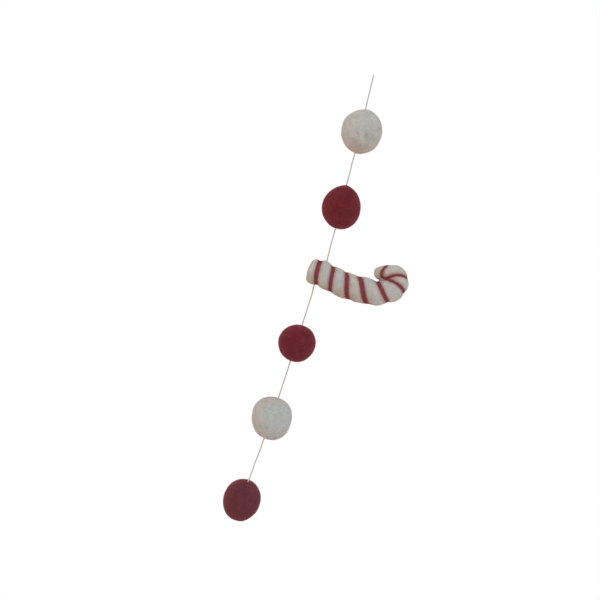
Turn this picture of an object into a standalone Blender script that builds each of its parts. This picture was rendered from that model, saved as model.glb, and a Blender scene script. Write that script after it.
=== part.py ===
"""Felt garland: wool felt balls and a felt candy cane, threaded on one string that hangs at a slant.

Metres, +Z up. +X is to the right and -Y is towards the viewer. The origin is the string's top end.
Sizes below are in millimetres and angles in degrees, and MM turns a size into metres.
"""

import cmath
import math
from collections import namedtuple

import bmesh
import bpy
import numpy as np
from mathutils import Vector

MM = 0.001

# The string
STRING_WIDTH = 0.8
STRING_STEP = 3.5  # between the points of its tube
CHANNEL_GAP = 0.4  # from the string to the felt round it
CHANNEL_SIDES = 12
CHANNEL_PAST = 4.5  # how far above and below the cane its channel's cutter reaches
BLIND_DEPTH = 1.0  # the lowest ball's channel goes on past the string's end

# The string's way down: the piece that it is in, or free, and where it is.
Place = namedtuple("Place", "piece x y z")
ROUTE = [
    Place("free", 0.0, 0.0, 0.0),
    Place("free", -2.3, 0.0, -9.3),
    Place("free", -4.0, 0.0, -16.5),
    Place("ball_1_white", -4.9, 0.0, -20.4),
    Place("ball_1_white", -11.2, 0.2, -46.8),
    Place("free", -12.4, 0.2, -50.7),
    Place("free", -14.2, 0.1, -57.9),
    Place("free", -15.6, 0.0, -63.3),
    Place("ball_2_red", -16.3, 0.0, -65.9),
    Place("ball_2_red", -23.1, -0.3, -92.6),
    Place("free", -24.2, -0.3, -96.3),
    Place("free", -26.2, -0.2, -103.5),
    Place("free", -27.4, 0.0, -108.6),
    Place("candy_cane", -28.0, 0.0, -111.0),
    Place("candy_cane", -35.75, 2.6, -125.9),
    Place("free", -37.2, 1.9, -131.7),
    Place("free", -39.5, 0.5, -138.9),
    Place("free", -41.8, -0.7, -146.1),
    Place("ball_3_red", -43.1, -1.1, -150.1),
    Place("ball_3_red", -50.1, 0.1, -171.8),
    Place("free", -51.8, 0.3, -177.3),
    Place("free", -54.2, 0.2, -184.5),
    Place("free", -56.1, 0.0, -190.3),
    Place("ball_4_white", -57.1, 0.0, -193.6),
    Place("ball_4_white", -66.0, -0.5, -218.4),
    Place("free", -68.3, -1.0, -225.0),
    Place("free", -71.2, -1.9, -232.5),
    Place("free", -73.9, -2.9, -240.0),
    Place("ball_5_red", -75.6, -3.4, -244.3),
    Place("ball_5_red", -79.6, -2.2, -255.5),
]

# Each ball: its centre, its radius in the picture plane, its half depth front to back, and how far
# hand rolling left it from round there. Oval, pear and square are the heights of two, three and four
# bulges, and each lean is their turn, clockwise from upright. Peak is the felt pulled up by the string.
Ball = namedtuple(
    "Ball", "red x y z radius depth oval oval_lean pear pear_lean square square_lean peak"
)
BALLS = {
    "ball_1_white": Ball(False, -7.2, 0.3, -33.9, 12.95, 12.6, 0.5, 15, 0.1, 51, 0.1, 36, 0.4),
    "ball_2_red": Ball(True, -19.4, 0.4, -79.6, 12.45, 12.1, 0.65, 8, 0.2, 28, 0.1, 15, 0.9),
    "ball_3_red": Ball(True, -46.1, 0.2, -160.9, 11.35, 11.4, 0.1, 90, 0.15, -59, 0.0, 0, 0.2),
    "ball_4_white": Ball(False, -61.25, 0.4, -205.8, 12.75, 12.4, 0.4, -5, 0.25, -53, 0.2, -33, 0.1),
    "ball_5_red": Ball(True, -79.25, 1.2, -255.0, 12.1, 11.7, 0.8, 19, 0.1, -39, 0.0, 0, 0.2),
}
BALL_RINGS = 16
BALL_SIDES = 26
RING_CROWDING = 0.06  # how much closer together the rings are near the string
REACH_ROUNDS = 8  # of closing in on the surface along a ray
PEAK_SPREAD = 1.7  # how far from the string a peak reaches

# The candy cane's centre line from its blunt end to its tip, and the felt's half thickness there:
# above is the side inside the crook's bend, below is the other, and depth is front to back.
Section = namedtuple("Section", "x z above below depth")
CANE = [
    Section(-39.0, -116.6, 7.7, 7.9, 7.4),
    Section(-32.8, -118.9, 7.9, 7.65, 7.5),
    Section(-22.7, -123.3, 7.6, 8.1, 7.6),
    Section(-14.7, -126.9, 7.9, 8.1, 7.7),
    Section(-6.7, -129.2, 8.1, 7.9, 7.8),
    Section(-1.5, -130.3, 7.6, 7.9, 7.7),
    Section(2.8, -130.5, 7.3, 7.7, 7.5),
    Section(6.7, -130.0, 7.15, 7.2, 7.4),
    Section(9.9, -129.2, 7.0, 7.35, 7.2),
    Section(12.3, -127.4, 6.9, 7.3, 7.0),
    Section(13.6, -124.7, 6.7, 7.5, 6.8),
    Section(13.2, -121.8, 6.3, 7.4, 6.5),
    Section(11.7, -119.5, 5.8, 6.2, 6.0),
    Section(9.3, -118.5, 4.9, 4.5, 5.4),
    Section(7.0, -118.6, 4.15, 4.5, 4.9),
    Section(3.6, -119.0, 4.0, 4.15, 4.6),
    Section(0.2, -119.4, 4.0, 4.5, 4.4),
]
BLUNT_ROUNDING = 3.2  # of the blunt end's rim
BLUNT_DOME = 0.5
TIP_ROUNDING = 3.9
TIP_RINGS = (0.25, 0.5, 0.75, 0.93)  # shares of the way round the tip
BEND_SQUEEZE = 0.88  # inside the bend the felt reaches this share of the way to the bend's centre
CENTRE_STEP = 0.4  # its direction is taken over this far on either side
BEND_REACH = 2.5  # the bend's radius is taken over this far on either side
LEAST_TURN = 0.001  # in radians, of a stretch that counts as straight
CANE_STEP = 1.35  # between rings
CANE_SIDES = 24

# Where each turn of red roving crosses the cane's upper edge, the middle of its front and its lower
# edge, measured along the centre line from the blunt end, and how wide the roving is in front.
Turn = namedtuple("Turn", "upper front lower width")
TURNS = [
    Turn(4.6, 5.0, 8.2, 3.1),
    Turn(12.3, 14.4, 17.6, 2.9),
    Turn(20.2, 24.5, 28.6, 3.2),
    Turn(29.8, 34.5, 39.4, 3.7),
    Turn(43.2, 46.7, 49.4, 2.9),
    Turn(61.0, 57.1, 55.3, 2.2),
    Turn(65.5, 62.0, 58.9, 2.2),
    Turn(69.9, 70.7, 67.0, 2.1),
]
TURN_TO_FRONT = 0.25  # of a turn, from the upper edge to the middle of the front
WINDING_END = 72.5  # where the roving is on the upper side after the last turn

# The roving's strands, from one angle round the cane to another, in half turns from the first
# turn's place on the upper side, and how wide each is at its ends. In the crook they stop short of
# the pinch inside the bend.
Strand = namedtuple("Strand", "start stop end_width")
STRANDS = {
    "stripe_shaft": Strand(-0.6, 9.5, 2.4),
    "stripe_crook_1": Strand(10.35, 11.6, 0.9),
    "stripe_crook_2": Strand(12.35, 13.6, 0.9),
    "stripe_crook_3": Strand(14.3, 15.75, 0.9),
}
STRAND_STEPS = 16  # in a turn
STRAND_THICKNESS = 0.8
STRAND_WAIST = 0.3  # how far down a strand is widest
STRAND_CHAMFER = 0.6  # the width of its top and its foot as a share of the widest
STRAND_PROUD = 0.05
GROOVE_GAP = 0.38  # from a strand to the felt round it
LOOK_AHEAD = 0.02  # in radians, to find which way a strand runs
GROOVE_TOP = 0.8  # how far a groove's cutter stands out of the felt
VALLEY = 0.5  # how far the white felt sinks under the roving
VALLEY_SPAN = 8.0  # from one valley to the next, where there is no next turn
VALLEY_POWER = 1.5  # the higher, the narrower a valley
CANE_PEAK = 1.0  # the felt pulled up by the string

FELT_ROUGHNESS = 0.95
YARN_ROUGHNESS = 0.9
WHITE_WOOL = (0.52, 0.51, 0.46, 1.0)
RED_WOOL = (0.17, 0.024, 0.029, 1.0)
RED_ROVING = (0.21, 0.034, 0.045, 1.0)
COTTON = (0.58, 0.53, 0.49, 1.0)


def clear():
    for obj in list(bpy.data.objects):
        bpy.data.objects.remove(obj)


def smooth(knots, values, at):
    """The values at places along a smooth curve that goes through each value at its knot."""
    knots = np.asarray(knots, float)
    values = np.asarray(values, float).reshape(len(knots), -1)
    step = np.diff(knots)[:, None]
    slope = np.diff(values, axis=0) / step
    inner = (slope[:-1] * step[1:] + slope[1:] * step[:-1]) / (step[:-1] + step[1:])
    tangent = np.vstack([slope[:1], inner, slope[-1:]])
    at = np.atleast_1d(at)
    i = np.clip(np.searchsorted(knots, at, side="right") - 1, 0, len(step) - 1)
    t = ((at - knots[i]) / step[i, 0])[:, None]
    start = (1 + 2 * t) * (1 - t) ** 2 * values[i] + t * (1 - t) ** 2 * step[i] * tangent[i]
    end = t**2 * (3 - 2 * t) * values[i + 1] - t**2 * (1 - t) * step[i] * tangent[i + 1]
    return start + end


def lengths_along(points):
    """How far along the line each of its points is."""
    sides = np.linalg.norm(np.diff(np.asarray(points, float), axis=0), axis=1)
    return np.concatenate([[0.0], np.cumsum(sides)])


def add_object(name, data, colour, roughness):
    """A new object with its own Principled material."""
    material = bpy.data.materials.new(name + "_material")
    material.use_nodes = True
    shader = material.node_tree.nodes["Principled BSDF"]
    shader.inputs["Base Color"].default_value = colour
    shader.inputs["Roughness"].default_value = roughness
    data.materials.append(material)
    obj = bpy.data.objects.new(name, data)
    bpy.context.scene.collection.objects.link(obj)
    return obj


def ring_mesh(name, rings, start=None, end=None, joined=False):
    """A closed mesh over rings of points in mm. Its ends are points or flat faces, or are joined."""
    bm = bmesh.new()
    loops = [[bm.verts.new(Vector(p) * MM) for p in ring] for ring in rings]
    sides = len(loops[0])
    pairs = list(zip(loops, loops[1:]))
    if joined:
        pairs.append((loops[-1], loops[0]))
    for a, b in pairs:
        for i in range(sides):
            bm.faces.new((a[i - 1], a[i], b[i], b[i - 1]))
    if not joined:
        for loop, tip in ((loops[0], start), (loops[-1], end)):
            if tip is None:
                bm.faces.new(loop)
            else:
                pole = bm.verts.new(Vector(tip) * MM)
                for i in range(sides):
                    bm.faces.new((loop[i - 1], loop[i], pole))
    bmesh.ops.recalc_face_normals(bm, faces=bm.faces)
    mesh = bpy.data.meshes.new(name)
    bm.to_mesh(mesh)
    bm.free()
    mesh.shade_smooth()
    return mesh


def cut(obj, cutter_mesh):
    """Takes the cutter's shape out of obj."""
    cutter = bpy.data.objects.new(cutter_mesh.name, cutter_mesh)
    bpy.context.scene.collection.objects.link(cutter)
    cutter.hide_render = True
    cutter.display_type = "WIRE"
    modifier = obj.modifiers.new(cutter_mesh.name, "BOOLEAN")
    modifier.operation = "DIFFERENCE"
    modifier.object = cutter


def string_points():
    """The string's centre line, with a point at every step, in mm."""
    stops = []
    for place, following in zip(ROUTE, ROUTE[1:] + [None]):
        stops.append(Vector(place[1:]))
        if following and place.piece == following.piece != "free":
            stops.append((Vector(place[1:]) + Vector(following[1:])) / 2)
    along = lengths_along(stops)
    count = round(along[-1] / STRING_STEP)
    return smooth(along, stops, np.linspace(0, along[-1], count + 1))


def make_string():
    curve = bpy.data.curves.new("string", "CURVE")
    curve.dimensions = "3D"
    curve.bevel_depth = STRING_WIDTH / 2 * MM
    curve.bevel_resolution = 2
    curve.use_fill_caps = True
    points = string_points()
    spline = curve.splines.new("POLY")
    spline.points.add(len(points) - 1)
    for point, place in zip(spline.points, points):
        point.co = (*(Vector(place) * MM), 1.0)
    return add_object("string", curve, COTTON, YARN_ROUGHNESS)


def through(piece):
    """Where the string goes into a piece, and where it goes out or ends."""
    places = [Vector(place[1:]) for place in ROUTE if place.piece == piece]
    return places[0], places[-1]


def ball_radius(ball, direction):
    """From the ball's centre to its surface in a direction, without the peak."""
    clock = complex(direction.z, direction.x)  # clockwise from upright, as seen from the front
    radius = ball.radius + (ball.depth - ball.radius) * direction.y**2
    for bulges, height, lean in (
        (2, ball.oval, ball.oval_lean),
        (3, ball.pear, ball.pear_lean),
        (4, ball.square, ball.square_lean),
    ):
        radius += height * ((clock * cmath.rect(1, -math.radians(lean))) ** bulges).real
    return radius


def make_ball(name, ball):
    """Rings round the string's line from its way in to its way out, joined by the channel's wall."""
    centre = Vector((ball.x, ball.y, ball.z))
    way_in, way_out = through(name)
    axis = (way_out - way_in).normalized()
    middle = way_in + axis * (centre - way_in).dot(axis)
    side = axis.cross(Vector((0, 1, 0))).normalized()
    front = side.cross(axis)
    channel = STRING_WIDTH / 2 + CHANNEL_GAP
    mouth = math.asin(channel / ball.radius)

    def surface(angle, turn):
        outward = side * math.cos(turn) + front * math.sin(turn)
        ray = outward * math.sin(angle) - axis * math.cos(angle)
        reach = ball.radius
        for _ in range(REACH_ROUNDS):
            off = middle + ray * reach - centre
            reach += ball_radius(ball, off.normalized()) - off.length
        from_string = reach * math.sin(angle)
        peak = ball.peak * math.exp(-((from_string / PEAK_SPREAD) ** 2))
        return middle + ray * (reach + (peak if math.cos(angle) > 0 else 0))

    turns = [math.tau * i / BALL_SIDES for i in range(BALL_SIDES)]
    shares = [i / BALL_RINGS for i in range(BALL_RINGS + 1)]
    shares = [share - RING_CROWDING * math.sin(math.tau * share) for share in shares]
    angles = [mouth + (math.pi - 2 * mouth) * share for share in shares]
    rings = [[surface(angle, turn) for turn in turns] for angle in angles]
    ends_inside = (way_out - centre).length < ball.radius / 2
    if ends_inside:
        bottom = way_out + axis * BLIND_DEPTH
        tip = surface(math.pi, 0)
        rings = rings[:-1]
        deep = [bottom + (side * math.cos(t) + front * math.sin(t)) * channel for t in turns]
        mesh = ring_mesh(name, [deep, *rings], end=tip)
    else:
        mesh = ring_mesh(name, rings, joined=True)
    colour = RED_WOOL if ball.red else WHITE_WOOL
    return add_object(name, mesh, colour, FELT_ROUGHNESS)


class Cane:
    """The candy cane's surface, by u, how far along the centre line in mm, and v, the angle round it.

    v is 0 at the side inside the bend, a quarter turn at the front, and half a turn at the other side.
    """

    def __init__(self):
        self.knots = lengths_along([(s.x, s.z) for s in CANE])
        self.length = self.knots[-1]
        quarter = math.pi / 2
        first = TURNS[0]
        self.wound_angles = [-math.pi]
        self.wound = [2 * first.upper - first.lower]
        for turn_number, turn in enumerate(TURNS):
            self.wound_angles += [math.tau * turn_number + quarter * i for i in range(3)]
            self.wound += turn[:3]
        self.wound_angles.append(math.tau * len(TURNS))
        self.wound.append(WINDING_END)
        self.string_in = through("candy_cane")[0]

    def winding(self, v):
        """Where the roving is, u, when it has turned by v."""
        return float(smooth(self.wound_angles, self.wound, v)[0, 0])

    def section(self, u):
        """The centre, the direction to the side inside the bend, and the half thicknesses."""
        near = np.clip([u - CENTRE_STEP, u, u + CENTRE_STEP], 0, self.length)
        rows = smooth(self.knots, CANE, near)
        along = rows[2, :2] - rows[0, :2]
        along /= np.linalg.norm(along)
        inside = Vector((-along[1], 0, along[0]))
        return Vector((rows[1, 0], 0, rows[1, 1])), inside, rows[1, 2:]

    def bend_radius(self, u):
        before = self.section(max(u - BEND_REACH, 0))
        after = self.section(min(u + BEND_REACH, self.length))
        turn = before[1].angle(after[1])
        return (after[0] - before[0]).length / max(turn, LEAST_TURN)

    def valley(self, u, v):
        """How sunk the felt is: 1 under the roving and 0 half way between its turns."""
        turns = [self.winding(v + math.tau * k) for k in range(len(TURNS))]
        before = max((t for t in turns if t <= u), default=None)
        after = min((t for t in turns if t > u), default=None)
        if before is None or after is None:
            last = turns[0] if before is None else turns[-1]
            share = min(abs(u - last) / VALLEY_SPAN, 0.5)
        else:
            share = (u - before) / (after - before)
        return (math.cos(math.pi * share) ** 2) ** VALLEY_POWER

    def point(self, u, v, inset=0.0):
        """A point of the surface, and the way out of it there."""
        centre, inside, (above, below, depth) = self.section(u)
        above = min(above, BEND_SQUEEZE * self.bend_radius(u))
        sunk = inset + VALLEY * self.valley(u, v)
        half = (above if math.cos(v) > 0 else below) - sunk
        depth -= sunk
        at = inside * (half * math.cos(v)) - Vector((0, depth * math.sin(v), 0))
        outward = (inside * (math.cos(v) / half) - Vector((0, math.sin(v) / depth, 0))).normalized()
        from_string = (centre + at - self.string_in).length
        peak = CANE_PEAK * math.exp(-((from_string / PEAK_SPREAD) ** 2))
        return centre + at + outward * peak, outward

    def on_winding(self, v):
        return self.point(self.winding(v), v)

    def run(self, v):
        """How far the roving runs in each radian of turning there, in mm."""
        return (self.on_winding(v + LOOK_AHEAD)[0] - self.on_winding(v)[0]).length / LOOK_AHEAD


def make_cane(cane):
    """The white body, before anything is cut into it."""
    quarter = math.pi / 2
    rings = [(0.0, BLUNT_ROUNDING)]
    rings += [
        (BLUNT_ROUNDING * (1 - math.cos(a)), BLUNT_ROUNDING * (1 - math.sin(a)))
        for a in (quarter / 3, quarter * 2 / 3)
    ]
    tip_start = cane.length - TIP_ROUNDING
    count = round((tip_start - BLUNT_ROUNDING) / CANE_STEP)
    rings += [(u, 0.0) for u in np.linspace(BLUNT_ROUNDING, tip_start, count + 1)]
    rings += [
        (tip_start + TIP_ROUNDING * math.sin(a), TIP_ROUNDING * (1 - math.cos(a)))
        for a in (quarter * share for share in TIP_RINGS)
    ]
    turns = [math.tau * i / CANE_SIDES for i in range(CANE_SIDES)]
    points = [[cane.point(u, v, inset)[0] for v in turns] for u, inset in rings]
    blunt, beside = cane.section(0.0)[0], cane.section(1.0)[0]
    dome = blunt + (blunt - beside).normalized() * BLUNT_DOME
    mesh = ring_mesh("candy_cane", points, dome, cane.section(cane.length)[0])
    return add_object("candy_cane", mesh, WHITE_WOOL, FELT_ROUGHNESS)


def strand_section(width, gap):
    """A flat strand's outline, across it and out of the felt. With a gap, it is its groove's."""
    half = width / 2 + gap
    foot = width / 2 * STRAND_CHAMFER + gap
    brow, top = (half, GROOVE_TOP) if gap else (foot, STRAND_PROUD)
    waist = -STRAND_WAIST - gap / 2
    bottom = -STRAND_THICKNESS - gap
    return [(-half, waist), (-brow, top), (brow, top), (half, waist), (foot, bottom), (-foot, bottom)]


def strand_mesh(name, cane, strand, gap):
    """A strand along the roving's winding, or the groove that it lies in, a gap larger all round."""
    start, stop = strand.start * math.pi, strand.stop * math.pi
    steps = math.ceil((stop - start) / math.tau * STRAND_STEPS)
    angles = list(np.linspace(start, stop, steps + 1))
    in_front = [turn.width for turn in TURNS]
    turned = np.divide(angles, math.tau) - TURN_TO_FRONT
    full = np.interp(turned, range(len(TURNS)), in_front)
    taper = (1 - np.linspace(-1, 1, steps + 1) ** 2) ** 0.5
    widths = list(strand.end_width + (full - strand.end_width) * taper)
    if gap:
        angles = [start - gap / cane.run(start), *angles, stop + gap / cane.run(stop)]
        widths = [widths[0], *widths, widths[-1]]
    rings = []
    for v, width in zip(angles, widths):
        here, outward = cane.on_winding(v)
        ahead = cane.on_winding(v + LOOK_AHEAD)[0]
        across = (ahead - here).cross(outward).normalized()
        rings.append([here + across * a + outward * b for a, b in strand_section(width, gap)])
    return ring_mesh(name, rings)


def channel_mesh(piece):
    """The string's way through a piece, a little wider than the string and past both its ends."""
    way_in, way_out = through(piece)
    points = [Vector(p) for p in string_points()]
    points = [p for p in points if way_out.z - CHANNEL_PAST < p.z < way_in.z + CHANNEL_PAST]
    along = (points[-1] - points[0]).normalized()
    side = along.cross(Vector((0, 1, 0))).normalized()
    front = side.cross(along)
    radius = STRING_WIDTH / 2 + CHANNEL_GAP
    turns = [math.tau * i / CHANNEL_SIDES for i in range(CHANNEL_SIDES)]
    rings = [[p + (side * math.cos(t) + front * math.sin(t)) * radius for t in turns] for p in points]
    return ring_mesh(piece + "_channel", rings)


def main():
    clear()
    make_string()
    for name, ball in BALLS.items():
        make_ball(name, ball)
    cane = Cane()
    body = make_cane(cane)
    for name, strand in STRANDS.items():
        add_object(name, strand_mesh(name, cane, strand, 0.0), RED_ROVING, YARN_ROUGHNESS)
        cut(body, strand_mesh(name + "_groove", cane, strand, GROOVE_GAP))
    cut(body, channel_mesh("candy_cane"))


main()
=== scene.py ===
"""The looks of a felt garland: five wool felt balls and a felt candy cane on one cotton string.

Metres, +Z up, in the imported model's frame. Sizes are in millimetres, and MM turns one into metres.
"""

import math
from collections import namedtuple

import bpy
import numpy as np
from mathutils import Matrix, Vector
from mathutils.bvhtree import BVHTree
from mathutils.kdtree import KDTree


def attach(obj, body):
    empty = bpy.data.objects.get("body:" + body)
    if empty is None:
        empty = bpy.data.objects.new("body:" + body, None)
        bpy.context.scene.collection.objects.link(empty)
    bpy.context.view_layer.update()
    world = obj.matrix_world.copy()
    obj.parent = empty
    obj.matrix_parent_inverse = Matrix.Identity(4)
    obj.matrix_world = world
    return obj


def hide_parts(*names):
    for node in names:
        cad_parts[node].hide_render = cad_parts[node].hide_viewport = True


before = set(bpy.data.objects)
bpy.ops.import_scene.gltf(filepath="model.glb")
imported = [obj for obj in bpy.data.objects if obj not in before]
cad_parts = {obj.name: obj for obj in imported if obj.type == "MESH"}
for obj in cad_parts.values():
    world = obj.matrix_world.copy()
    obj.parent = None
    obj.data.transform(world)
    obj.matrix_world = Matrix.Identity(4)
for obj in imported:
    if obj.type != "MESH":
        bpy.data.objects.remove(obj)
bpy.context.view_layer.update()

MM = 0.001
QUARTER = math.pi / 2

# The photograph's frame
PHOTO_SIDE = 600
MM_PER_PIXEL = 0.6
STRING_TOP_PIXEL = (373.8, 75.0)
LENS = 120.0
SENSOR = 36.0
CAMERA_AWAY = PHOTO_SIDE * MM_PER_PIXEL * LENS / SENSOR
CAMERA_RIGHT = (PHOTO_SIDE / 2 - STRING_TOP_PIXEL[0]) * MM_PER_PIXEL
CAMERA_DOWN = (PHOTO_SIDE / 2 - STRING_TOP_PIXEL[1]) * MM_PER_PIXEL

# The stage
FLOOR_BELOW = 1400.0
FLOOR_SIDE = 12000.0
BACKDROP_RADIUS = 4000.0

# The light. Each colour channel of what comes from all round has a level, and grows to the right, to
# the back and upwards. The left is warm, the right cool, and what comes from below is brown and dim.
SKY = {
    "Red": (0.835, (-0.07, 0.0, 0.09)),
    "Green": (0.795, (0.0, -0.05, 0.14)),
    "Blue": (0.765, (0.06, -0.09, 0.18)),
}
WINDOW_PLACE = (500.0, -900.0, 600.0)
WINDOW_AIM = (-40.0, 0.0, -130.0)
WINDOW_SIDE = 900.0
WINDOW_POWER = 0.6

# The string
STRING_WIDTH = 0.8
STRING_STEP = 0.3
STRING_SIDES = 18
STRING_PLIES = 3
COTTON_GRAIN = 0.4  # of the pattern that its fibres make
COTTON_RELIEF = 0.05
PLY_LAY = 2.6  # the length of one turn of the plies
PLY_DEPTH = 0.16  # of the furrows between plies, as a share of the radius

# The string's way down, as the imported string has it: the piece that it is in, or free, and its
# places there. In a piece they are where it goes in and where it comes out.
ROUTE = [
    ("free", (0.0, 0.0, 0.0), (-2.3, 0.0, -9.3), (-4.0, 0.0, -16.5)),
    ("ball_1_white", (-4.9, 0.0, -20.4), (-11.2, 0.2, -46.8)),
    ("free", (-12.4, 0.2, -50.7), (-14.2, 0.1, -57.9), (-15.6, 0.0, -63.3)),
    ("ball_2_red", (-16.3, 0.0, -65.9), (-23.1, -0.3, -92.6)),
    ("free", (-24.2, -0.3, -96.3), (-26.2, -0.2, -103.5), (-27.4, 0.0, -108.6)),
    ("candy_cane", (-28.0, 0.0, -111.0), (-35.75, 2.6, -125.9)),
    ("free", (-37.2, 1.9, -131.7), (-39.5, 0.5, -138.9), (-41.8, -0.7, -146.1)),
    ("ball_3_red", (-43.1, -1.1, -150.1), (-50.1, 0.1, -171.8)),
    ("free", (-51.8, 0.3, -177.3), (-54.2, 0.2, -184.5), (-56.1, 0.0, -190.3)),
    ("ball_4_white", (-57.1, 0.0, -193.6), (-66.0, -0.5, -218.4)),
    ("free", (-68.3, -1.0, -225.0), (-71.2, -1.9, -232.5), (-73.9, -2.9, -240.0)),
    ("ball_5_red", (-75.6, -3.4, -244.3), (-79.6, -2.2, -255.5)),
]

# The felt's shape
CHANNEL_REACH = 1.1  # a solid's channel wall is this near the string's line
QUAD_ANGLE = math.radians(60)
BALL_LEVELS = 3
LUMPS = 7.0  # how wide the felt's soft lumps are, and how high
LUMP_HEIGHT = 0.4
CRUMBS = 1.9  # the small ones of a rolled ball
CRUMB_HEIGHT = 0.1
TUFTS = 2.4  # the small ones that the needle leaves on the cane
TUFT_HEIGHT = 0.3

# The felt's pattern: how wide its parts are, and how high its relief is
WAVES = 9.0
WAVE_REACH = 6.0  # how far the waves bend the streaks
STREAK_LENGTH = 4.5
STREAK_WIDTH = 0.55
STREAK_TURNS = [(0.3, math.radians(35), 0.5), (0.3, math.radians(-40), 0.5)]
STREAK_SHARE = 0.65  # of the colour, beside the clouds
CLOUDS = 6.0
TONES = 4.5
TONE_STRENGTH = 0.35
TONE_ENDS = ((0.42, 0.3), (0.58, 0.7))  # the noise where each tone starts to show, and shows the most
GRAIN = 0.7
GRAIN_SHARE = 0.4  # of the relief, beside the streaks
FELT_RELIEF = 0.09
WISPS = 3.0

# The wool's darker and its lighter fibres, on the cane and on each ball
WHITE_WOOL = ("#B5B1A9", "#D1CEC7")
WHITE_TONES = ("#B8A392", "#A9B8B6")  # where it has yellowed, and where it looks cool and clean
BALLS = {
    "ball_1_white": ("#B5B2AB", "#CDCBC5"),
    "ball_2_red": ("#602127", "#792E33"),
    "ball_3_red": ("#61222A", "#7A3037"),
    "ball_4_white": ("#BABBB8", "#C6C7C3"),
    "ball_5_red": ("#603138", "#6E383F"),
}

# The sheen of the wool's fuzz: how much of it, and its tint
Sheen = namedtuple("Sheen", "weight tint")
RED_SHEEN = Sheen(0.7, "#B6666C")
WHITE_SHEEN = Sheen(0.35, "#BE9478")
LOOSE_WHITE_SHEEN = Sheen(0.1, "#E8DCCB")
ROVING_SHEEN = Sheen(0.08, "#D08088")

# One ball's fibres lie in rings round a place on its front
SWIRLED = "ball_4_white"
SWIRL_CENTRE = (-55.0, -11.0, -208.5)
SWIRL_SPACING = 1.8
SWIRL_REACH = (4.0, 8.0, 13.0)  # the rings start, show the most and end this far from it
SWIRL_SHARE = 0.3

# What the felt has picked up on its front, as the photograph shows it, and the warm shade painted on its
# front: the stains and the painted shade, and the patches of each on a piece, with their x and z, how
# wide they are and how strong.
# Soil is dirt. The brownish tint is painted warm shade at the pieces' edges. The pinkish tint is the
# roving's dye on the cane, and painted warm shade low on the balls.
STAINS_AND_SHADE = {"soil": "#6C6A66", "tan": "#B09A84", "pink": "#A87268"}
PATCHES = {
    ("ball_1_white", "soil"): [
        (-4.6, -36.2, 1.2, 0.36),
        (-4.9, -34.6, 1.0, 0.22),
        (-3.9, -38.8, 0.8, 0.18),
        (-9.3, -35.2, 0.6, 0.42),
        (-8.2, -42.0, 0.7, 0.55),
        (-7.6, -39.7, 0.7, 0.18),
        (-10.3, -39.9, 1.1, 0.18),
        (-12.9, -38.4, 1.0, 0.16),
        (2.8, -32.1, 0.6, 0.5),
        (1.7, -33.8, 0.6, 0.2),
        (0.5, -33.6, 0.6, 0.18),
        (-0.4, -37.0, 1.3, 0.14),
        (-3.7, -42.0, 0.7, 0.14),
    ],
    # Painted warm shade, pinkish, on the ball's left and lower side.
    ("ball_1_white", "pink"): [
        (-11.0, -39.0, 3.0, 0.18),
        (-13.5, -43.6, 3.0, 0.35),
        (-7.5, -46.5, 4.5, 0.2),
    ],
    # Painted warm shade at the ball's left edge.
    ("ball_1_white", "tan"): [(-19.0, -38.0, 6.0, 0.25)],
    ("ball_4_white", "soil"): [
        (-63.6, -211.7, 1.0, 0.16),
        (-60.4, -214.5, 1.2, 0.12),
        (-56.9, -201.4, 1.4, 0.1),
    ],
    ("ball_4_white", "pink"): [
        (-67.6, -211.5, 1.2, 0.16),
        # Painted warm shade, pinkish, at the ball's bottom.
        (-62.0, -219.0, 5.0, 0.16),
    ],
    # Painted warm shade at the ball's left edge and round its top.
    ("ball_4_white", "tan"): [
        (-72.0, -211.0, 6.0, 0.3),
        (-73.0, -202.0, 5.0, 0.25),
        (-66.0, -195.0, 5.0, 0.3),
        (-58.0, -193.5, 4.0, 0.25),
    ],
    ("candy_cane", "soil"): [
        (14.3, -131.6, 0.6, 0.35),
        (-1.7, -135.0, 0.7, 0.3),
        (4.3, -135.0, 0.6, 0.25),
        (-29.5, -122.5, 3.5, 0.14),
        (-41.5, -119.0, 0.8, 0.2),
        (-22.5, -130.5, 1.4, 0.2),
        (-12.5, -132.5, 1.6, 0.16),
    ],
    # Painted warm shade along the cane's lower edge and round its blunt end, and in a few spots at its
    # upper edge and tip.
    ("candy_cane", "tan"): [
        (-42.0, -120.0, 4.5, 0.5),
        (-44.5, -116.5, 3.5, 0.4),
        (-37.0, -126.0, 3.5, 0.5),
        (-30.0, -128.5, 3.0, 0.6),
        (-21.0, -132.0, 3.5, 0.7),
        (-12.0, -135.0, 3.5, 0.7),
        (-3.0, -137.5, 3.0, 0.5),
        (-24.0, -116.5, 2.0, 0.4),
        (-9.0, -121.0, 2.2, 0.5),
        (14.0, -115.5, 3.0, 0.1),
        (-0.5, -119.5, 3.0, 0.5),
    ],
    ("candy_cane", "pink"): [
        (-13.1, -127.2, 2.2, 0.2),
        (14.5, -122.4, 1.5, 0.25),
        (5.0, -120.0, 1.8, 0.4),
        (9.0, -120.6, 1.4, 0.4),
        (11.0, -122.6, 1.2, 0.6),
        (9.6, -116.6, 2.4, 0.14),
    ],
}

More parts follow.
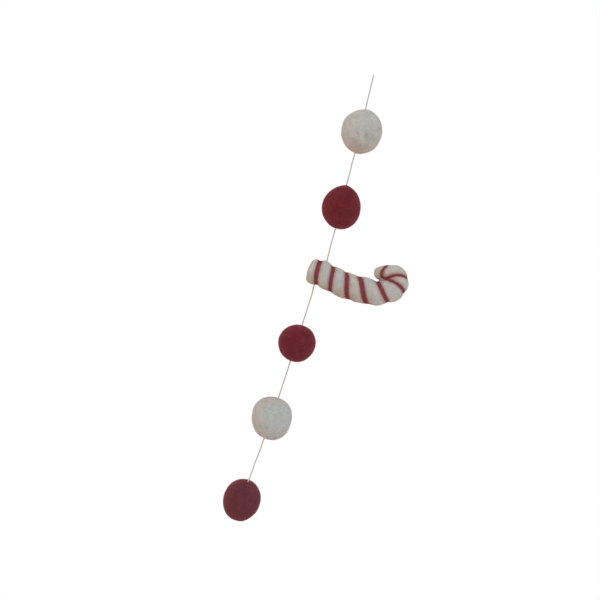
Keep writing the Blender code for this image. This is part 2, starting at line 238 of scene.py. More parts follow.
# The candy cane's centre line from its blunt end to its tip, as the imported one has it, and the felt's
# half thickness: above is the side inside the crook's bend, below the other, and depth front to back.
Section = namedtuple("Section", "x z above below depth")
CANE = [
    Section(-39.0, -116.6, 7.7, 7.9, 7.4),
    Section(-32.8, -118.9, 7.9, 7.65, 7.5),
    Section(-22.7, -123.3, 7.6, 8.1, 7.6),
    Section(-14.7, -126.9, 7.9, 8.1, 7.7),
    Section(-6.7, -129.2, 8.1, 7.9, 7.8),
    Section(-1.5, -130.3, 7.6, 7.9, 7.7),
    Section(2.8, -130.5, 7.3, 7.7, 7.5),
    Section(6.7, -130.0, 7.15, 7.2, 7.4),
    Section(9.9, -129.2, 7.0, 7.35, 7.2),
    Section(12.3, -127.4, 6.9, 7.3, 7.0),
    Section(13.6, -124.7, 6.7, 7.5, 6.8),
    Section(13.2, -121.8, 6.3, 7.4, 6.5),
    Section(11.7, -119.5, 5.8, 6.2, 6.0),
    Section(9.3, -118.5, 4.9, 4.5, 5.4),
    Section(7.0, -118.6, 4.15, 4.5, 4.9),
    Section(3.6, -119.0, 4.0, 4.15, 4.6),
    Section(0.2, -119.4, 4.0, 4.5, 4.4),
]
BLUNT_ROUNDING = 3.2  # of the blunt end's rim
BLUNT_DOME = 0.5
DOME_SHARE = 0.5  # the share of the blunt end's rings that its dome takes
TIP_ROUNDING = 3.9
BEND_SQUEEZE = 0.88  # inside the bend the felt reaches this share of the way to the bend's centre
PINCH_STARTS = (44.2, 47.2)  # the felt is pressed together more and more from here to here
PINCH_ENDS = (68.8, 71.2)
PINCH_OVERLAP = 1.0
PINCH_SQUEEZE = 1.35  # what BEND_SQUEEZE is where the felt is pressed together
CREASE = ((4.6, -123.2), (10.6, -122.9))  # where the felt grew together, as seen from the front
CREASE_REACH = (0.8, 2.8)
CREASE_SMOOTHING = 80
VOXEL = 0.28  # of the grid that joins the pressed felt into one skin
SKIN_SMOOTHING = 3
CENTRE_STEP = 0.4  # to each side, for the way along the centre line
BEND_REACH = 2.5  # to each side, for how tight the bend is
LEAST_TURN = 0.001
CANE_RINGS = 240
CANE_SIDES = 120
CAP_RINGS = 0.1  # the share of the rings that each rounded end takes

# Where each turn of red roving crosses the cane's upper edge, the middle of its front and its lower
# edge, measured along the centre line from the blunt end, and how wide the roving is in front.
Turn = namedtuple("Turn", "upper front lower width")
TURNS = [
    Turn(4.6, 5.0, 8.2, 3.1),
    Turn(12.3, 14.4, 17.6, 2.9),
    Turn(20.2, 24.5, 28.6, 3.2),
    Turn(29.8, 34.5, 39.4, 3.7),
    Turn(43.2, 46.7, 49.4, 2.9),
    Turn(61.0, 57.1, 55.3, 2.2),
    Turn(65.5, 62.0, 58.9, 2.2),
    Turn(69.9, 70.7, 67.0, 2.1),
]
WINDING_END = 72.5
FRONT_TURN = 0.25  # how far past its upper edge a turn crosses the front, in turns
VALLEY = 0.85  # how far the white felt sinks under the roving
VALLEY_SPAN = 8.0  # how far it takes to rise again, past the first turn and the last
VALLEY_POWER = 2.5  # more than 1 makes the valleys narrower than the swellings
PEAK = 1.0  # the cane's felt pulled up by the string
PEAK_SPREAD = 1.7

# The roving's strands, in half turns of the winding. A crook strand starts in front, in the crease
# where the crook is pinched, at this x and z. Every strand ends in the crease behind.
Strand = namedtuple("Strand", "start stop end_width crease")
STRANDS = {
    "stripe_shaft": Strand(-0.6, 9.7, 2.4, None),
    "stripe_crook_1": Strand(10.36, 11.7, 1.8, (8.4, -123.0)),
    "stripe_crook_2": Strand(12.38, 13.7, 3.1, (5.9, -122.7)),
    "stripe_crook_3": Strand(14.34, 15.75, 1.7, (7.6, -123.1)),
}
BACK_CREASE = (8.4, -122.6)
RAY_START = 50.0  # well in front of the cane or behind it
GUIDE_TURN = 0.12  # between the places that guide a strand, in half turns
STRAND_TAPER = 3.0  # how far from its end a strand is at its full width
STRAND_STEP = 0.3
STRAND_SIDES = 26
STRAND_SOFTENED = 3  # each of its places is the mean of itself and so many to each side
STRAND_DOME = 0.16  # how far its middle stands above the felt
DOME_POWER = 0.5  # less than 1 makes its top flatter
STRAND_DEPTH = 0.6
EDGE_WOBBLE = 0.2  # how uneven its edges are, and how far apart the bumps are
EDGE_WAVE = 1.6
ROVING_FIBRE = (3.5, 0.25)  # how long and wide its fibres are drawn
ROVING_RELIEF = 0.15
BLEED = (-0.4, 1.7)  # the dye tints the white felt less and less from here to here past its edge
BLEED_STRENGTH = 0.6
FRAYED = (0.5, 1.1)  # white fibres cover it more and more from here to here, as shares of half its width
FRAY_STRENGTH = 0.7
FRAY_UNEVEN = 0.8

# A strand's line: its places, how far along it each is, the ways out and across there, and its width
Line = namedtuple("Line", "far places out across width")

# Loose fibres on the felt, drawn twice as thick as real ones, which are 0.02 mm
FIBRE_WIDTH = 0.04
FIBRE_LENGTH = 3.0
FIBRE_LENGTHS = (0.6, 1.3)  # from this share of the length to this
FIBRE_SHAPE = (0.6, 1.0, 0.9, 0.5)  # the share of its width that a fibre has at each of its points
FIBRE_POINTS = len(FIBRE_SHAPE)
FIBRE_SHADE = 0.85  # of its colour, where it is darkest
FIBRE_CURL = 0.45
FIBRE_START = 0.016  # how far out of the felt its line starts
FIBRE_LIFT = 0.1
FIBRE_MOST_LIFT = 2.5  # times the lift
ASIDE = (0.3, 0.5, 0.8)  # any way that isn't a fibre's own
SCATTER = 0.1  # how far from a face's middle a fibre may start
FIBRES_ON_BALL = 2000
FIBRES_ON_CANE = 3000
FIBRES_ON_ROVING = 1800
FIBRES_CLEAR = 2.6  # how far from the roving's middle the white ones start
ROVING_EDGE = (0.9, 1.5)  # how far from it the red ones start
ROVING_LIFT = 0.05
ROVING_STRAY = 0.3  # how far they turn from its way
CANE_SEED = 11


def linear(hex_colour):
    """An sRGB hex colour as the linear values that a shader takes."""
    values = [int(hex_colour[i : i + 2], 16) / 255 for i in (1, 3, 5)]
    values = [v / 12.92 if v <= 0.04045 else ((v + 0.055) / 1.055) ** 2.4 for v in values]
    return (*values, 1.0)


def add(tree, kind, inputs=None, **settings):
    """A new shader node with its settings. Each input is a value, or an output that is linked to it.

    The inputs of a Mix node go by number: 0 is the share, 2 and 3 are numbers, and 6 and 7 are colours.
    """
    made = tree.nodes.new("ShaderNode" + kind)
    for name, value in settings.items():
        setattr(made, name, value)
    for name, value in (inputs or {}).items():
        if isinstance(value, bpy.types.NodeSocket):
            tree.links.new(value, made.inputs[name])
        else:
            made.inputs[name].default_value = value
    return made


def smooth(knots, values, at):
    """The values at places along a smooth curve that goes through each value at its knot."""
    knots = np.asarray(knots, float)
    values = np.asarray(values, float).reshape(len(knots), -1)
    step = np.diff(knots)[:, None]
    slope = np.diff(values, axis=0) / step
    inner = (slope[:-1] * step[1:] + slope[1:] * step[:-1]) / (step[:-1] + step[1:])
    tangent = np.vstack([slope[:1], inner, slope[-1:]])
    at = np.atleast_1d(at)
    i = np.clip(np.searchsorted(knots, at, side="right") - 1, 0, len(step) - 1)
    t = ((at - knots[i]) / step[i, 0])[:, None]
    start = (1 + 2 * t) * (1 - t) ** 2 * values[i] + t * (1 - t) ** 2 * step[i] * tangent[i]
    end = t**2 * (3 - 2 * t) * values[i + 1] - t**2 * (1 - t) * step[i] * tangent[i + 1]
    return start + end


def lengths_along(points):
    """How far along the line each of its points is."""
    sides = np.linalg.norm(np.diff(np.asarray(points, float), axis=0), axis=1)
    return np.concatenate([[0.0], np.cumsum(sides)])


def unit(vectors):
    return vectors / np.linalg.norm(vectors, axis=-1, keepdims=True)


def fade(value, low, high):
    """From 0 at low to 1 at high, with soft ends."""
    share = np.clip((value - low) / (high - low), 0, 1)
    return share * share * (3 - 2 * share)


def take(obj):
    """Makes obj the one object that an operator acts on."""
    bpy.ops.object.select_all(action="DESELECT")
    obj.select_set(True)
    bpy.context.view_layer.objects.active = obj


def edit(obj, select):
    """Enters edit mode on obj with everything selected or nothing."""
    take(obj)
    bpy.ops.object.mode_set(mode="EDIT")
    bpy.ops.mesh.select_mode(type="VERT")
    bpy.ops.mesh.select_all(action=select)


def leave_edit():
    bpy.ops.object.mode_set(mode="OBJECT")


def apply_modifiers(obj):
    take(obj)
    for modifier in list(obj.modifiers):
        bpy.ops.object.modifier_apply(modifier=modifier.name)


def rows_of(items, name):
    """A vector that each of a mesh's items has, as rows."""
    values = np.empty(len(items) * 3, np.float32)
    items.foreach_get(name, values)
    return values.reshape(-1, 3).astype(float)


def corners(obj):
    """The places of obj's vertices, in metres."""
    return rows_of(obj.data.vertices, "co")


def move_corners(obj, places):
    obj.data.vertices.foreach_set("co", np.asarray(places, np.float32).ravel())
    obj.data.update()


def paint(obj, name, values):
    """Gives each vertex a value that the material reads by name."""
    layer = obj.data.attributes.new(name, "FLOAT", "POINT")
    layer.data.foreach_set("value", np.asarray(values, np.float32))


def finish_piece(obj, material, slot, *nodes):
    """The piece's material and smooth shading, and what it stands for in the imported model."""
    obj.data.materials.clear()
    obj.data.materials.append(material)
    take(obj)
    bpy.ops.object.shade_smooth()
    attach(obj, "root")
    if nodes:
        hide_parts(*nodes)


def rolled_tube(name, rings):
    """A grid rolled into a tube over rings of points in mm, with its ends closed."""
    count, sides = len(rings), len(rings[0])
    bpy.ops.object.select_all(action="DESELECT")
    bpy.ops.mesh.primitive_grid_add(x_subdivisions=sides, y_subdivisions=count - 1, size=1)
    tube = bpy.context.object
    tube.name = tube.data.name = name
    flat = corners(tube)
    across = np.rint((flat[:, 0] + 0.5) * sides).astype(int) % sides
    along = np.rint((flat[:, 1] + 0.5) * (count - 1)).astype(int)
    move_corners(tube, np.asarray(rings)[along, across] * MM)
    edit(tube, "SELECT")
    bpy.ops.mesh.remove_doubles(threshold=1e-7)
    bpy.ops.mesh.select_all(action="DESELECT")
    bpy.ops.mesh.select_non_manifold(extend=False)
    bpy.ops.mesh.fill_holes(sides=0)
    bpy.ops.mesh.select_all(action="SELECT")
    bpy.ops.mesh.normals_make_consistent(inside=False)
    leave_edit()
    return tube


def set_camera():
    """A long lens, square on, with one pixel of the photograph to MM_PER_PIXEL at the garland."""
    place = Vector((CAMERA_RIGHT, -CAMERA_AWAY, -CAMERA_DOWN)) * MM
    bpy.ops.object.camera_add(location=place, rotation=(QUARTER, 0, 0))
    camera = bpy.context.object
    camera.data.lens = LENS
    camera.data.sensor_width = SENSOR
    camera.data.clip_start = 0.05
    camera.data.clip_end = 50.0
    bpy.context.scene.camera = camera


def stage_material(name, colour):
    """Matt paper, lit evenly from edge to edge, which shows as a plain pale ground."""
    material = bpy.data.materials.new(name)
    material.use_nodes = True
    tree = material.node_tree
    tree.nodes.clear()
    glow = add(tree, "Emission", {"Color": linear(colour)})
    add(tree, "OutputMaterial", {"Surface": glow.outputs[0]})
    return material


def finish_ground(name, colour):
    """The ground shows to the camera alone, so that it doesn't light the garland."""
    ground = bpy.context.object
    ground.name = name
    ground.data.materials.append(stage_material("pale_" + name, colour))
    for light in ("diffuse", "glossy", "transmission", "volume_scatter", "shadow"):
        setattr(ground, "visible_" + light, False)


def set_stage():
    """A pale floor well below the garland, and a pale round backdrop far off that meets the floor."""
    bpy.ops.mesh.primitive_plane_add(size=FLOOR_SIDE * MM, location=(0, 0, -FLOOR_BELOW * MM))
    finish_ground("floor", "#FEFEFE")
    bpy.ops.mesh.primitive_uv_sphere_add(segments=96, ring_count=48, radius=BACKDROP_RADIUS * MM)
    finish_ground("backdrop", "#FFFFFF")


def set_light():
    """Soft light from all round, and a little more from a window in front, above and to the right."""
    world = bpy.data.worlds.new("room_light")
    bpy.context.scene.world = world
    world.use_nodes = True
    tree = world.node_tree
    tree.nodes.clear()
    way = add(tree, "TexCoord").outputs["Generated"]
    channels = {}
    for name, (level, growth) in SKY.items():
        slope = add(tree, "VectorMath", {0: way, 1: growth}, operation="DOT_PRODUCT")
        total = add(tree, "Math", {0: slope.outputs["Value"], 1: level}, operation="ADD")
        channels[name] = total.outputs[0]
    colour = add(tree, "CombineColor", channels)
    light = add(tree, "Background", {"Color": colour.outputs[0]})
    add(tree, "OutputWorld", {"Surface": light.outputs[0]})
    bpy.ops.object.light_add(type="AREA", location=Vector(WINDOW_PLACE) * MM)
    window = bpy.context.object
    window.name = "window"
    window.data.size = WINDOW_SIDE * MM
    window.data.energy = WINDOW_POWER
    window.data.color = linear("#EEF4FF")[:3]
    back = window.location - Vector(WINDOW_AIM) * MM
    window.rotation_euler = back.to_track_quat("Z", "Y").to_euler()


def way_through(piece):
    """Where the string goes into a piece and where it comes out."""
    return next(places for name, *places in ROUTE if name == piece)


def string_line():
    """The string's centre line in mm, with a point at every step."""
    stops = []
    for piece, *places in ROUTE:
        places = [Vector(place) for place in places]
        if piece != "free":
            places.insert(1, (places[0] + places[1]) / 2)
        stops += places
    along = lengths_along(stops)
    count = round(along[-1] / STRING_STEP)
    return smooth(along, stops, np.linspace(0, along[-1], count + 1))


def make_string():
    """Three plies of cotton laid round each other."""
    line = string_line()
    along = unit(np.gradient(line, axis=0))
    side = unit(np.cross(along, (0, 1, 0)))
    front = np.cross(side, along)
    travelled = lengths_along(line)
    rings = []
    for place, way, other, far in zip(line, side, front, travelled):
        angles = np.arange(STRING_SIDES) * math.tau / STRING_SIDES
        ply = np.abs(np.cos((angles - math.tau * far / PLY_LAY) * STRING_PLIES / 2))
        radius = STRING_WIDTH / 2 * (1 - PLY_DEPTH * (1 - ply))
        ring = np.outer(radius * np.cos(angles), way) + np.outer(radius * np.sin(angles), other)
        rings.append(place + ring)
    string = rolled_tube("cotton_string", rings)
    finish_piece(string, plied_cotton(), "cotton_string", "string")


def plied_cotton():
    """Natural plied cotton, spun: matt and pale beige, finely mottled by its fibres."""
    material = bpy.data.materials.new("plied_natural_cotton")
    material.use_nodes = True
    tree = material.node_tree
    shader = tree.nodes["Principled BSDF"]
    shader.inputs["Roughness"].default_value = 0.9
    shader.inputs["Specular IOR Level"].default_value = 0.2
    place = add(tree, "TexCoord").outputs["Object"]
    grain = {"Vector": place, "Scale": 1 / (COTTON_GRAIN * MM), "Detail": 3.0}
    fibres = add(tree, "TexNoise", grain)
    colours = {0: fibres.outputs["Fac"], 6: linear("#C0B3AD"), 7: linear("#D6CAC4")}
    tint = add(tree, "Mix", colours, data_type="RGBA")
    tree.links.new(tint.outputs[2], shader.inputs["Base Color"])
    raised = {"Height": fibres.outputs["Fac"], "Strength": 0.4, "Distance": COTTON_RELIEF * MM}
    bump = add(tree, "Bump", raised)
    tree.links.new(bump.outputs[0], shader.inputs["Normal"])
    return material


def fibre_streaks(tree, place):
    """Streaks across each other, bent by slow waves, for wool that was laid in crossed layers.

    A wool fibre is 0.02 mm thick. The streaks are much wider, because finer ones don't show.
    """
    waves = add(tree, "TexNoise", {"Vector": place, "Scale": 1 / (WAVES * MM), "Detail": 1.0})
    bend = {0: waves.outputs["Color"], 1: (WAVE_REACH * MM,) * 3, 2: place}
    bent = add(tree, "VectorMath", bend, operation="MULTIPLY_ADD").outputs[0]
    layers = []
    for turn in STREAK_TURNS:
        laid = {
            "Vector": bent,
            "Rotation": turn,
            "Scale": (STREAK_LENGTH * MM, STREAK_WIDTH * MM, STREAK_WIDTH * MM),
        }
        layer = add(tree, "Mapping", laid, vector_type="TEXTURE")
        wisps = {"Vector": layer.outputs[0], "Scale": 1.0, "Roughness": 0.6}
        layers.append(add(tree, "TexNoise", wisps).outputs["Fac"])
    both = add(tree, "Math", {0: layers[0], 1: layers[1]}, operation="ADD")
    return add(tree, "Math", {0: both.outputs[0], 1: 0.5}, operation="MULTIPLY").outputs[0]


def swirl(tree, place, streaks):
    """The streaks with wide arcs mixed in, where the wad was last folded over."""
    off = add(tree, "VectorMath", {0: place, 1: Vector(SWIRL_CENTRE) * MM}, operation="SUBTRACT")
    rings = {
        "Vector": off.outputs[0],
        "Scale": math.pi / (10 * SWIRL_SPACING * MM),  # one ring each SWIRL_SPACING
        "Distortion": 9.0,
        "Detail": 3.0,
        "Detail Scale": 0.7,
    }
    wave = add(tree, "TexWave", rings, wave_type="RINGS", rings_direction="SPHERICAL")
    away = add(tree, "VectorMath", {0: off.outputs[0]}, operation="LENGTH").outputs["Value"]
    start, most, end = [far * MM for far in SWIRL_REACH]
    grows = {"Value": away, "From Min": start, "From Max": most, "To Max": SWIRL_SHARE}
    share = add(tree, "MapRange", grows, interpolation_type="SMOOTHSTEP").outputs[0]
    fades = {"Value": away, "From Min": most, "From Max": end, "To Min": share, "To Max": 0.0}
    share = add(tree, "MapRange", fades, interpolation_type="SMOOTHSTEP").outputs[0]
    mixed = {0: share, 2: streaks, 3: wave.outputs["Fac"]}
    return add(tree, "Mix", mixed).outputs[0]


def toned(tree, place, colour, tones):
    """The colour with patches of two tones, one where a soft noise is low and one where it is high."""
    patchy = {"Vector": place, "Scale": 1 / (TONES * MM), "Detail": 3.0}
    noise = add(tree, "TexNoise", patchy).outputs["Fac"]
    for (least, most), tone in zip(TONE_ENDS, tones):
        part = {"Value": noise, "From Min": least, "From Max": most, "To Max": TONE_STRENGTH}
        share = add(tree, "MapRange", part, interpolation_type="SMOOTHSTEP")
        colours = {0: share.outputs[0], 6: colour, 7: linear(tone)}
        colour = add(tree, "Mix", colours, data_type="RGBA").outputs[2]
    return colour


def with_stains_and_shade(tree, colour):
    """The colour with the stains and the warm shade that are painted on the piece."""
    for name, tint in STAINS_AND_SHADE.items():
        strength = add(tree, "Attribute", attribute_name=name).outputs["Fac"]
        colours = {0: strength, 6: colour, 7: linear(tint)}
        colour = add(tree, "Mix", colours, data_type="RGBA").outputs[2]
    return colour


def wool_material(name, sheen):
    """The start of each wool material: matt, with the soft sheen of its fuzz."""
    material = bpy.data.materials.new(name)
    material.use_nodes = True
    shader = material.node_tree.nodes["Principled BSDF"]
    shader.inputs["Roughness"].default_value = 0.95
    shader.inputs["Specular IOR Level"].default_value = 0.03
    shader.inputs["Sheen Weight"].default_value = sheen.weight
    shader.inputs["Sheen Roughness"].default_value = 0.5
    shader.inputs["Sheen Tint"].default_value = linear(sheen.tint)
    return material, material.node_tree, shader


def wool_felt(name, wool, sheen, tones=None, swirled=False):
    """Wool felt, rolled wet or needled: matt, softly cloudy, with crossed fibres, stains and painted warm
    shade.

    Tones are what it turns to in patches. Swirled, it has fibres in wide arcs on its front.
    """
    material, tree, shader = wool_material(name, sheen)
    place = add(tree, "TexCoord").outputs["Object"]
    streaks = fibre_streaks(tree, place)
    if swirled:
        streaks = swirl(tree, place, streaks)
    cloud = add(tree, "TexNoise", {"Vector": place, "Scale": 1 / (CLOUDS * MM), "Detail": 5.0})
    depth = add(tree, "Mix", {0: STREAK_SHARE, 2: cloud.outputs["Fac"], 3: streaks})
    spread = add(tree, "MapRange", {"Value": depth.outputs[0], "From Min": 0.38, "From Max": 0.62})
    colours = {0: spread.outputs[0], 6: linear(wool[0]), 7: linear(wool[1])}
    colour = add(tree, "Mix", colours, data_type="RGBA").outputs[2]
    if tones:
        colour = toned(tree, place, colour, tones)
    tree.links.new(with_stains_and_shade(tree, colour), shader.inputs["Base Color"])
    grain = add(tree, "TexNoise", {"Vector": place, "Scale": 1 / (GRAIN * MM), "Detail": 3.0})
    height = add(tree, "Mix", {0: GRAIN_SHARE, 2: streaks, 3: grain.outputs["Fac"]})
    raised = {"Height": height.outputs[0], "Strength": 0.25, "Distance": FELT_RELIEF * MM}
    bump = add(tree, "Bump", raised)
    tree.links.new(bump.outputs[0], shader.inputs["Normal"])
    return material


def loose_wool(name, colour, sheen):
    """Single wool fibres that stand off the felt: as matt as it, and light goes through them a little."""
    material, tree, shader = wool_material(name, sheen)
    shader.inputs["Roughness"].default_value = 0.9
    shader.inputs["Subsurface Weight"].default_value = 0.25
    shader.inputs["Subsurface Radius"].default_value = (1.0, 1.0, 1.0)
    shader.inputs["Subsurface Scale"].default_value = 0.5 * MM
    place = add(tree, "TexCoord").outputs["Object"]
    wisps = add(tree, "TexNoise", {"Vector": place, "Scale": 1 / (WISPS * MM), "Detail": 1.0})
    darker = [FIBRE_SHADE * part for part in linear(colour)[:3]]
    colours = {0: wisps.outputs["Fac"], 6: (*darker, 1.0), 7: linear(colour)}
    tint = add(tree, "Mix", colours, data_type="RGBA")
    tree.links.new(tint.outputs[2], shader.inputs["Base Color"])
    return material


def needled_roving():
    """Red wool roving, needled flat: matt, with fibres that run along the strand.

    The fibres are drawn wider than real ones, which are 0.02 mm thick and don't show. White fibres of
    the cane, tinted by the dye, lie over the strand's edges.
    """
    material, tree, shader = wool_material("needled_red_roving", ROVING_SHEEN)
    names = ("along", "across", "to_edge")
    painted = [add(tree, "Attribute", attribute_name=name).outputs["Fac"] for name in names]
    along, across, to_edge = painted
    place = add(tree, "CombineXYZ", {0: along, 1: across}).outputs[0]
    laid = {"Vector": place, "Scale": (*ROVING_FIBRE, 1.0)}
    laid = add(tree, "Mapping", laid, vector_type="TEXTURE")
    wisps = {"Vector": laid.outputs[0], "Scale": 1.0, "Detail": 3.0, "Distortion": 0.4}
    fibres = add(tree, "TexNoise", wisps).outputs["Fac"]
    spread = add(tree, "MapRange", {"Value": fibres, "From Min": 0.35, "From Max": 0.65})
    colours = {0: spread.outputs[0], 6: linear("#77383F"), 7: linear("#8B4449")}
    dyed = add(tree, "Mix", colours, data_type="RGBA").outputs[2]
    uneven_edge = {0: fibres, 1: FRAY_UNEVEN, 2: to_edge}
    uneven_edge = add(tree, "Math", uneven_edge, operation="MULTIPLY_ADD").outputs[0]
    least, most = [share + FRAY_UNEVEN / 2 for share in FRAYED]
    white = {"Value": uneven_edge, "From Min": least, "From Max": most, "To Max": FRAY_STRENGTH}
    white = add(tree, "MapRange", white, interpolation_type="SMOOTHSTEP")
    over = {0: white.outputs[0], 6: dyed, 7: linear("#B49490")}
    tint = add(tree, "Mix", over, data_type="RGBA")
    tree.links.new(tint.outputs[2], shader.inputs["Base Color"])
    raised = {"Height": fibres, "Strength": 0.6, "Distance": ROVING_RELIEF * MM}
    bump = add(tree, "Bump", raised)
    tree.links.new(bump.outputs[0], shader.inputs["Normal"])
    return material


def copy_of_node(node, name):
    """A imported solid's mesh as a new piece, with its loose triangles joined again into quads."""
    piece = bpy.data.objects.new(name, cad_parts[node].data.copy())
    bpy.context.scene.collection.objects.link(piece)
    piece.data.name = name
    edit(piece, "SELECT")
    bpy.ops.mesh.customdata_custom_splitnormals_clear()
    bpy.ops.mesh.remove_doubles(threshold=1e-6)
    bpy.ops.mesh.tris_convert_to_quads(face_threshold=QUAD_ANGLE, shape_threshold=QUAD_ANGLE)
    leave_edit()
    return piece


def close_channel(ball, node):
    """Takes the channel's wall away and draws the felt together round the string."""
    start, end = [Vector(place) * MM for place in way_through(node)]
    line = (end - start).normalized()
    edit(ball, "DESELECT")
    bpy.ops.mesh.select_mode(type="FACE")
    leave_edit()
    for face in ball.data.polygons:
        off = face.center - start
        face.select = (off - line * off.dot(line)).length < CHANNEL_REACH * MM
    bpy.ops.object.mode_set(mode="EDIT")
    bpy.ops.mesh.delete(type="FACE")
    bpy.ops.mesh.select_mode(type="VERT")
    bpy.ops.mesh.select_non_manifold(extend=False)
    bpy.ops.mesh.merge(type="COLLAPSE")
    leave_edit()


def lump(obj, name, size, height):
    """Soft lumps of one size all over a piece."""
    clouds = bpy.data.textures.new(name, "CLOUDS")
    clouds.noise_scale = size * MM
    clouds.noise_depth = 1
    modifier = obj.modifiers.new(name, "DISPLACE")
    modifier.texture = clouds
    modifier.texture_coords = "LOCAL"
    modifier.strength = height * MM


def paint_stains_and_shade(obj, node, dye=0.0):
    """Paints the piece's patches of stains and of warm shade on its front, and the pinkish tint that each
    place has from the roving's dye.
    """
    places = corners(obj) / MM
    nearer = CAMERA_AWAY / (CAMERA_AWAY + places[:, 1])
    seen_x = CAMERA_RIGHT + (places[:, 0] - CAMERA_RIGHT) * nearer
    seen_z = -CAMERA_DOWN + (places[:, 2] + CAMERA_DOWN) * nearer
    front = rows_of(obj.data.vertex_normals, "vector")[:, 1] < 0
    # Each stain and each painted warm shade in turn; the pinkish one starts from the dye.
    for name in STAINS_AND_SHADE:
        painted = np.zeros(len(places)) + (dye if name == "pink" else 0.0)
        for x, z, size, strength in PATCHES.get((node, name), []):
            off = np.hypot(seen_x - x, seen_z - z)
            painted += front * strength * np.exp(-((off / size) ** 2))
        paint(obj, name, np.clip(painted, 0, 1))


def make_ball(node, name, material, slot):
    """A wad of wool, wet and rolled in the hands until it felts, with the string drawn through."""
    ball = copy_of_node(node, name)
    close_channel(ball, node)
    rounding = ball.modifiers.new("rounding", "SUBSURF")
    rounding.levels = rounding.render_levels = BALL_LEVELS
    lump(ball, name + "_lumps", LUMPS, LUMP_HEIGHT)
    lump(ball, name + "_crumbs", CRUMBS, CRUMB_HEIGHT)
    apply_modifiers(ball)
    # The ball's stains and its painted warm shade.
    paint_stains_and_shade(ball, node)
    finish_piece(ball, material, slot, node)
    return ball


def skin_of(obj):
    """The piece's surface in mm, for finding the nearest place on it."""
    faces = [tuple(face.vertices) for face in obj.data.polygons]
    return BVHTree.FromPolygons([tuple(place) for place in corners(obj) / MM], faces)


def on_skin(skin, places):
    """The nearest places on a skin, and the ways out of it there."""
    found = [skin.find_nearest(Vector(place)) for place in places]
    return np.array([hit[0] for hit in found]), np.array([hit[1] for hit in found])


def fibre_lines(skin, starts, ways, lift, chance):
    """Lines that start on the skin, lift off it a little, and each bend to one side."""
    count = len(starts)
    step = FIBRE_LENGTH / (FIBRE_POINTS - 1) * chance.uniform(*FIBRE_LENGTHS, (count, 1))
    curl = chance.normal(0, FIBRE_CURL, (count, 1))
    rise = lift * chance.exponential(1.0, (count, 1)).clip(0, FIBRE_MOST_LIFT)
    places, outs = on_skin(skin, starts)
    line = []
    for number in range(FIBRE_POINTS):
        side = np.cross(outs, ways)
        ways = unit(ways + curl * side - outs * (ways * outs).sum(1, keepdims=True))
        high = FIBRE_START + rise * (number / (FIBRE_POINTS - 1)) ** 2
        line.append(places + outs * high)
        places, outs = on_skin(skin, places + ways * step)
    return np.array(line)


def fibre_corners(line):
    """Each fibre's corners: three round each point of its line, and one past each of its ends."""
    along = unit(np.gradient(line, axis=0))
    side = unit(np.cross(along, ASIDE))
    other = np.cross(along, side)
    thick = FIBRE_WIDTH / 2 * np.array(FIBRE_SHAPE)[:, None, None]
    angles = np.arange(3) * math.tau / 3
    rings = [line + thick * (side * math.cos(a) + other * math.sin(a)) for a in angles]
    rings = np.stack(rings, axis=1).reshape(FIBRE_POINTS * 3, -1, 3)
    ends = np.stack([line[0] - along[0] * FIBRE_WIDTH, line[-1] + along[-1] * FIBRE_WIDTH * 2])
    return np.concatenate([rings, ends]).transpose(1, 0, 2)


def fibre_faces():
    """The faces of one fibre, by the numbers of its corners."""
    first, last = FIBRE_POINTS * 3, FIBRE_POINTS * 3 + 1
    faces = []
    for a, b in ((0, 1), (1, 2), (2, 0)):
        faces.append((first, b, a))
        faces.append((last, first - 3 + a, first - 3 + b))
        for ring in range(0, first - 3, 3):
            faces.append((ring + a, ring + b, ring + 3 + b))
            faces.append((ring + a, ring + 3 + b, ring + 3 + a))
    return np.array(faces)


def loose_fibres(name, line, material, slot):
    """Short loose fibres along the lines, as one piece."""
    places = fibre_corners(line)
    firsts = np.arange(len(places))[:, None, None] * places.shape[1]
    faces = (fibre_faces()[None] + firsts).reshape(-1, 3)
    mesh = bpy.data.meshes.new(name)
    mesh.from_pydata((places * MM).reshape(-1, 3), [], faces.tolist())
    piece = bpy.data.objects.new(name, mesh)
    bpy.context.scene.collection.objects.link(piece)
    finish_piece(piece, material, slot)


def scattered(obj, count, chance):
    """Places all over a piece in mm, as many as asked, and a way along its surface at each."""
    faces = obj.data.polygons
    centres = rows_of(faces, "center") / MM
    outs = rows_of(faces, "normal")
    areas = np.array([face.area for face in faces])
    chosen = chance.choice(len(faces), count, p=areas / areas.sum())
    ways = np.cross(outs[chosen], chance.normal(0, 1, (count, 3)))
    return centres[chosen] + chance.normal(0, SCATTER, (count, 3)), unit(ways)


def winding_guides():
    """How far the roving has turned round the cane, and how far along it is, at each of its guides."""
    first = TURNS[0]
    guides = [(-math.pi, 2 * first.upper - first.lower)]
    for number, turn in enumerate(TURNS):
        guides += [(math.tau * number + QUARTER * i, turn[i]) for i in range(3)]
    return [*guides, (math.tau * len(TURNS), WINDING_END)]


def winding_at(v):
    """How far along the centre line the roving is when it has turned by v."""
    return smooth(*zip(*winding_guides()), np.ravel(v))[:, 0].reshape(np.shape(v))


CANE_KNOTS = lengths_along([(s.x, s.z) for s in CANE])
CANE_LENGTH = CANE_KNOTS[-1]


def cane_sections(u):
    """Centres, ways to the side inside the bend, and half thicknesses at places along the cane."""
    rows = smooth(CANE_KNOTS, CANE, u)
    before = smooth(CANE_KNOTS, CANE, np.clip(u - CENTRE_STEP, 0, CANE_LENGTH))
    after = smooth(CANE_KNOTS, CANE, np.clip(u + CENTRE_STEP, 0, CANE_LENGTH))
    along = unit(after[:, :2] - before[:, :2])
    nothing = np.zeros(len(u))
    centres = np.column_stack([rows[:, 0], nothing, rows[:, 1]])
    inside = np.column_stack([-along[:, 1], nothing, along[:, 0]])
    return centres, inside, rows[:, 2:]


